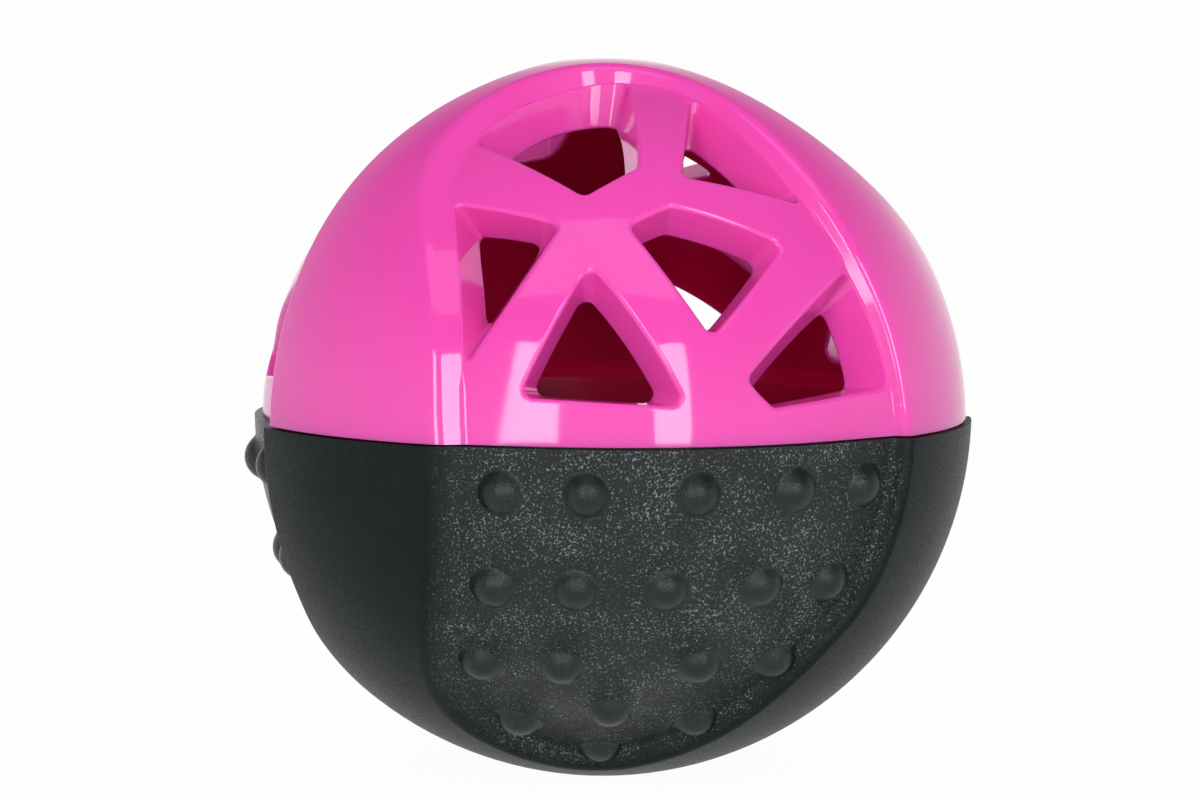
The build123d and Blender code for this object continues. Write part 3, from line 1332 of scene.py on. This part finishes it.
@dataclass(kw_only=True)
class RubberShell(HalfBall):
    """The soft lower half: satin bands, grainy panels and rows of round studs.

    A row of studs is its degrees below the seam and the studs' degrees to the right of the panel's middle.
    """

    half: Half = Half.LOWER
    center_z: float = 0.7 * MM
    panel_radius: float = 42.55 * MM
    bore: float = 40.25 * MM
    edge_round: float = 1.0 * MM
    foot_round: float = 0.7 * MM
    stations: tuple = (
        (-66, -62, -61, -62),
        (-51.2, -32.7, -46.4, -33),
        (-45.4, -20.8, -40.7, -20.8),
        (-40.8, -8.9, -36.2, -8.6),
        (-37.6, 6, -33.1, 6),
        (-35.2, 18.5, -31, 17.5),
        (-30.5, 27, -27.2, 25),
        (-22, 32, -20.5, 30.2),
        (-11, 34.5, -10.6, 33),
        (-3, 32, -3.3, 31),
        (3.5, 25.5, 3, 24.8),
        (9.6, 18.2, 9.2, 17.6),
        (15.6, 10.3, 15.2, 9.9),
        (21, 4.2, 20.6, 3.9),
        (28.4, -2.2, 28, -2.5),
        (35.8, -11.8, 35.4, -12),
        (43.6, -23.8, 43.2, -24),
        (49, -32.5, 48.6, -32.7),
        (66, -62, 65.6, -62.2),
    )
    rest_flat: float = 5 * MM
    stud_base: float = 2.7 * MM
    stud_height: float = 1.7 * MM
    stud_foot: float = 0.35 * MM
    stud_sides: int = 30
    stud_rings: int = 13
    stud_rows: tuple = (
        (8.5, (-31, -17, 1, 18.5, 33)),
        (25, (-34, -19, -3, 15, 30)),
        (41, (-41, -23, 7, 26)),
        (53, (-12,)),
        (57.5, (-40, 16)),
        (70, (-14.5,)),
    )

    def build(self, finish: bpy.types.Material, knobs: bpy.types.Material) -> list[bpy.types.Object]:
        """Builds the shell and its studs.

        Args:
            finish: Material of the shell.
            knobs: Material of the studs.

        Returns:
            The shell and the studs.
        """
        skin = self.outside([])
        mouth = ring(self.bore, self.seam, (-1.0, 0.0), self.segments).points
        bore_radius = math.hypot(self.bore, self.seam)
        self.patch(skin, ball(bore_radius), mouth, [], inward=True)
        flat = math.sqrt(self.band_radius**2 - self.rest_flat**2)
        for points, normals in zip(skin.points, skin.normals):
            low = points[:, 2] > flat
            points[low, 2] = flat
            normals[low] = (0.0, 0.0, 1.0)
        shell = skin.piece("rubber_cup", self.half, self.center_z, [finish])
        return [shell, self.studs(knobs)]

    def seats(self) -> bpy.types.Object:
        """Marks the points where the studs stand, each with its outward direction.

        Returns:
            The points as an object.
        """
        spots, ways = [], []
        for panel in range(self.panels):
            for depth, azimuths in self.stud_rows:
                for azimuth in azimuths:
                    way = turned(axes_towards(azimuth, -depth)[2], self.pitch * panel)
                    spots.append(way * self.panel_radius + np.array([0, 0, self.center_z]))
                    ways.append(way)
        mesh = bpy.data.meshes.new("stud_seats")
        mesh.from_pydata([tuple(s) for s in spots], [], [])
        outward = mesh.attributes.new("outward", "FLOAT_VECTOR", "POINT")
        outward.data.foreach_set("vector", np.array(ways, dtype=np.float32).ravel())
        return placed("panel_studs", mesh)

    def stud_tree(self, finish: bpy.types.Material) -> bpy.types.NodeTree:
        """Node tree that sets a round stud with a soft foot on every seat.

        Args:
            finish: Material of the studs.

        Returns:
            The tree.
        """
        tree = bpy.data.node_groups.new("studs_on_seats", "GeometryNodeTree")
        sizes = ("Base Radius", "Height", "Foot", "Panel Radius")
        tree.interface.new_socket("Seats", in_out="INPUT", socket_type="NodeSocketGeometry")
        for label in sizes:
            tree.interface.new_socket(label, in_out="INPUT", socket_type="NodeSocketFloat")
        tree.interface.new_socket("Studs", in_out="OUTPUT", socket_type="NodeSocketGeometry")
        given = add_node(tree, "NodeGroupInput").outputs
        here = add_node(tree, "GeometryNodeInputPosition").outputs[0]
        spot = add_node(tree, "ShaderNodeSeparateXYZ", {}, Vector=here).outputs
        values = {label: given[label] for label in sizes} | {"x": spot["X"], "y": spot["Y"]}

        # The stud is a ball's cap. Its foot runs out smoothly over a skirt that bends with the panel and
        # sinks in it.
        sums = (
            ("height2", "POWER", "Height", 2.0),
            ("base2", "POWER", "Base Radius", 2.0),
            ("squares", "ADD", "height2", "base2"),
            ("heights", "MULTIPLY", "Height", 2.0),
            ("ball", "DIVIDE", "squares", "heights"),
            ("hem", "MULTIPLY", "Foot", 3.0),
            ("skirt", "ADD", "Base Radius", "hem"),
            ("x2", "POWER", "x", 2.0),
            ("y2", "POWER", "y", 2.0),
            ("reach2", "ADD", "x2", "y2"),
            ("ball2", "POWER", "ball", 2.0),
            ("left", "SUBTRACT", "ball2", "reach2"),
            ("under", "MAXIMUM", "left", 0.0),
            ("root", "SQRT", "under"),
            ("buried", "SUBTRACT", "ball", "Height"),
            ("cap", "SUBTRACT", "root", "buried"),
            ("cap2", "POWER", "cap", 2.0),
            ("foot2", "POWER", "Foot", 2.0),
            ("blend", "ADD", "cap2", "foot2"),
            ("soft", "SQRT", "blend"),
            ("both", "ADD", "cap", "soft"),
            ("rise", "MULTIPLY", "both", 0.5),
            ("width", "MULTIPLY", "Panel Radius", 2.0),
            ("fall", "DIVIDE", "reach2", "width"),
            ("sink", "MULTIPLY", "Foot", 0.16),
            ("crown", "SUBTRACT", "rise", "fall"),
            ("top", "SUBTRACT", "crown", "sink"),
        )
        for name, operation, *terms in sums:
            settings = {i: term for i, term in enumerate(terms) if isinstance(term, float)}
            links = {f"i{i}": values[term] for i, term in enumerate(terms) if isinstance(term, str)}
            node = add_node(tree, "ShaderNodeMath", {"operation": operation, **settings}, **links)
            values[name] = node.outputs[0]

        disc = {"fill_type": "NONE", "Vertices": self.stud_sides, "Side Segments": self.stud_rings,
                "Radius Top": 0.0, "Depth": MM}
        cone = add_node(tree, "GeometryNodeMeshCone", disc, Radius_Bottom=values["skirt"])
        moved = add_node(tree, "ShaderNodeCombineXYZ", {}, X=spot["X"], Y=spot["Y"], Z=values["top"])
        stud = add_node(tree, "GeometryNodeSetPosition", {}, Geometry=cone.outputs["Mesh"],
                        Position=moved.outputs[0])
        smooth = add_node(tree, "GeometryNodeSetShadeSmooth", {}, Geometry=stud.outputs[0])
        outward = {"data_type": "FLOAT_VECTOR", "Name": "outward"}
        way = add_node(tree, "GeometryNodeInputNamedAttribute", outward)
        lean = add_node(tree, "FunctionNodeAlignRotationToVector", {"axis": "Z"}, Vector=way.outputs[0])
        stand = add_node(tree, "GeometryNodeInstanceOnPoints", {}, Points=given["Seats"],
                         Instance=smooth.outputs[0], Rotation=lean.outputs[0])
        real = add_node(tree, "GeometryNodeRealizeInstances", {}, Geometry=stand.outputs[0])
        dressed = add_node(tree, "GeometryNodeSetMaterial", {"Material": finish}, Geometry=real.outputs[0])
        add_node(tree, "NodeGroupOutput", {}, Studs=dressed.outputs[0])
        return tree

    def studs(self, finish: bpy.types.Material) -> bpy.types.Object:
        """Builds the studs of all panels as one piece.

        Args:
            finish: Material of the studs.

        Returns:
            The studs.
        """
        seats = self.seats()
        modifier = seats.modifiers.new("studs", "NODES")
        tree = self.stud_tree(finish)
        modifier.node_group = tree
        sizes = {"Base Radius": self.stud_base, "Height": self.stud_height, "Foot": self.stud_foot,
                 "Panel Radius": self.panel_radius}
        for item in tree.interface.items_tree:
            if item.name in sizes:
                modifier[item.identifier] = sizes[item.name]
        graph = bpy.context.evaluated_depsgraph_get()
        mesh = bpy.data.meshes.new_from_object(seats.evaluated_get(graph), depsgraph=graph)
        seats.modifiers.clear()
        seats.data = mesh
        return seats


# The studio


@dataclass(frozen=True)
class Lamp:
    """A soft area light that looks at the ball, its angles in degrees from the camera and the level."""

    name: str
    azimuth: float
    elevation: float
    distance: float
    width: float
    height: float
    watts: float


def facing(right: Points, up: Points, back: Points, distance: float) -> Matrix:
    """Place of a camera or lamp that looks at the ball's middle.

    Args:
        right: Its axis to the right.
        up: Its upward axis.
        back: Direction from the ball to it.
        distance: Metres from the ball.

    Returns:
        The matrix of its place.
    """
    axes = np.column_stack([right, up, back, back * distance])
    return Matrix(np.vstack([axes, [0, 0, 0, 1]]).tolist())


@dataclass
class Studio:
    """Floor, backdrop, soft lights and the camera at the photograph's angle."""

    photo_width: int = 1200
    photo_height: int = 800
    ball_pixel: tuple = (603.0, 413.0)
    pixels_per_metre: float = 8180.0
    distance: float = 0.9
    azimuth: float = -14.5
    elevation: float = 5.6
    roll: float = 0.48
    sensor: float = 36.0
    far_end: float = 20.0
    room_light: float = 0.46
    ceiling: float = 0.1
    ceiling_from: float = 0.1
    ceiling_to: float = 0.6
    floor_half: float = 3.0
    floor_colour: str = "#F6F6F6"
    floor_glow: float = 0.97
    lamps: tuple = (
        Lamp("strip_left", -18.5, 12, 1.3, 0.26, 0.85, 6.0),
        Lamp("strip_right", 23, 12, 1.3, 0.28, 0.85, 6.3),
        Lamp("overhead", 0, 62, 1.2, 1.0, 0.6, 2.0),
    )

    def camera(self) -> None:
        """Sets the camera where the photograph was taken from."""
        right, up, back = axes_towards(self.azimuth, self.elevation)
        swing = math.radians(self.roll)
        across = right * math.cos(swing) + up * math.sin(swing)
        upward = up * math.cos(swing) - right * math.sin(swing)
        data = bpy.data.cameras.new("photo_camera")
        data.sensor_width = self.sensor
        data.sensor_fit = "HORIZONTAL"
        data.lens = self.sensor * self.pixels_per_metre * self.distance / self.photo_width
        data.shift_x = (self.photo_width / 2 - self.ball_pixel[0]) / self.photo_width
        data.shift_y = (self.ball_pixel[1] - self.photo_height / 2) / self.photo_width
        data.clip_end = self.far_end
        camera = placed("photo_camera", data)
        camera.matrix_world = facing(across, upward, back, self.distance)
        bpy.context.scene.camera = camera

    def lights(self) -> None:
        """Hangs two strip lights beside the camera and a large soft light overhead."""
        for lamp in self.lamps:
            data = bpy.data.lights.new(lamp.name, "AREA")
            data.shape = "RECTANGLE"
            data.size, data.size_y = lamp.width, lamp.height
            data.energy = lamp.watts
            axes = axes_towards(self.azimuth + lamp.azimuth, lamp.elevation)
            placed(lamp.name, data).matrix_world = facing(*axes, lamp.distance)

    def world(self) -> None:
        """Lights the room, and shows white walls and a dim ceiling in reflections and white to the camera."""
        world = bpy.data.worlds.new("white_room")
        world.use_nodes = True
        tree = world.node_tree
        tree.nodes.clear()
        rays = add_node(tree, "ShaderNodeLightPath").outputs
        way = add_node(tree, "ShaderNodeTexCoord").outputs["Generated"]
        height = add_node(tree, "ShaderNodeSeparateXYZ", {}, Vector=way).outputs["Z"]
        fade = {1: self.ceiling_from, 2: self.ceiling_to, 3: 1.0, 4: self.ceiling}
        dim = add_node(tree, "ShaderNodeMapRange", fade, Value=height)
        mirrored = add_node(tree, "ShaderNodeMath", {"operation": "MAXIMUM"}, i0=rays["Is Glossy Ray"],
                            i1=rays["Is Transmission Ray"])
        level = add_node(tree, "ShaderNodeMapRange", {3: self.room_light}, Value=mirrored.outputs[0],
                         To_Max=dim.outputs[0])
        seen = add_node(tree, "ShaderNodeMath", {"operation": "MAXIMUM"}, i0=level.outputs[0],
                        i1=rays["Is Camera Ray"])
        room = add_node(tree, "ShaderNodeBackground", {"Color": WHITE}, Strength=seen.outputs[0])
        add_node(tree, "ShaderNodeOutputWorld", {}, Surface=room.outputs[0])
        bpy.context.scene.world = world

    def paper(self) -> bpy.types.Material:
        """Makes the floor's finish: matt white paper that the camera and reflections see as white.

        Returns:
            The new material.
        """
        material = bpy.data.materials.new("white_paper")
        material.use_nodes = True
        tree = material.node_tree
        tree.nodes.clear()
        rays = add_node(tree, "ShaderNodeLightPath").outputs
        seen = add_node(tree, "ShaderNodeMath", {"operation": "MAXIMUM"}, i0=rays["Is Camera Ray"],
                        i1=rays["Is Glossy Ray"])
        matt = add_node(tree, "ShaderNodeBsdfDiffuse", {"Color": linear(self.floor_colour)})
        white = add_node(tree, "ShaderNodeEmission", {"Color": WHITE, "Strength": 1.0})
        glow = {"operation": "MULTIPLY", 1: self.floor_glow}
        share = add_node(tree, "ShaderNodeMath", glow, i0=seen.outputs[0])
        mixed = add_node(tree, "ShaderNodeMixShader", {}, i0=share.outputs[0], i1=matt.outputs[0],
                         i2=white.outputs[0])
        add_node(tree, "ShaderNodeOutputMaterial", {}, Surface=mixed.outputs[0])
        return material

    def floor(self, height: float) -> None:
        """Lays the pale floor.

        Args:
            height: Height of the floor.
        """
        mesh = bpy.data.meshes.new("studio_floor")
        signs = ((-1, -1), (1, -1), (1, 1), (-1, 1))
        corners = [(x * self.floor_half, y * self.floor_half, height) for x, y in signs]
        mesh.from_pydata(corners, [], [(0, 1, 2, 3)])
        mesh.materials.append(self.paper())
        floor = placed("studio_floor", mesh)


def report(piece: bpy.types.Object) -> None:
    """Reports a piece that is in place."""
    LOG.info("%s: %d faces", piece.name, len(piece.data.polygons))


def main() -> None:
    """Builds every piece, dresses it and sets it on its body."""
    logging.basicConfig(level=logging.INFO)
    bpy.context.scene.view_settings.view_transform = "Standard"
    dome_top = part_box("openwork_dome")[1][2]
    shell_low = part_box("rubber_shell")[0][2]
    shell_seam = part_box("rubber_shell")[1][2]

    dome = OpenworkDome(band_radius=dome_top - OpenworkDome.center_z)
    polished = MouldedPink()
    # The inside is a deeper, redder pink than the outside: painted shade, as light reaches it only through
    # the windows and the plastic.
    within = MouldedPink("unpolished_pink_painted_shade", colour="#E40058", deep="#D8004E", roughness=0.3)
    piece = dome.build(polished.material(), within.material())
    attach(piece, Body.DOME.value)
    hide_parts("openwork_dome")
    report(piece)

    shell_reach = math.hypot(RubberShell.rest_flat, RubberShell.center_z - shell_low)
    shell = RubberShell(seam_z=shell_seam, band_radius=shell_reach)
    margin = 0.2 * MM
    rubber = MouldedRubber(shell.center_z, shell.band_radius - margin, shell.panel_radius + margin)
    # The studs take dimmer painted glints, and their ground has no painted sheen.
    knobs = replace(rubber, name="rubbed_black_rubber", painted_grain_sheen=rubber.worn, painted_glint="#2E3839", roughness=0.3,
                    rubbed_roughness=0.3, gloss=0.34, grain_depth=0.1 * MM, rubbed_depth=0.06 * MM)
    for piece in shell.build(rubber.material(), knobs.material()):
        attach(piece, Body.BASE.value)
        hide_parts("rubber_shell")
        report(piece)

    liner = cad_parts["inner_bowl"]
    liner.data.materials.clear()
    liner.data.materials.append(MouldedBlack().material())
    report(liner)

    studio = Studio()
    studio.world()
    studio.lights()
    studio.camera()
    studio.floor(shell_low)


if __name__ == "__main__":
    main()
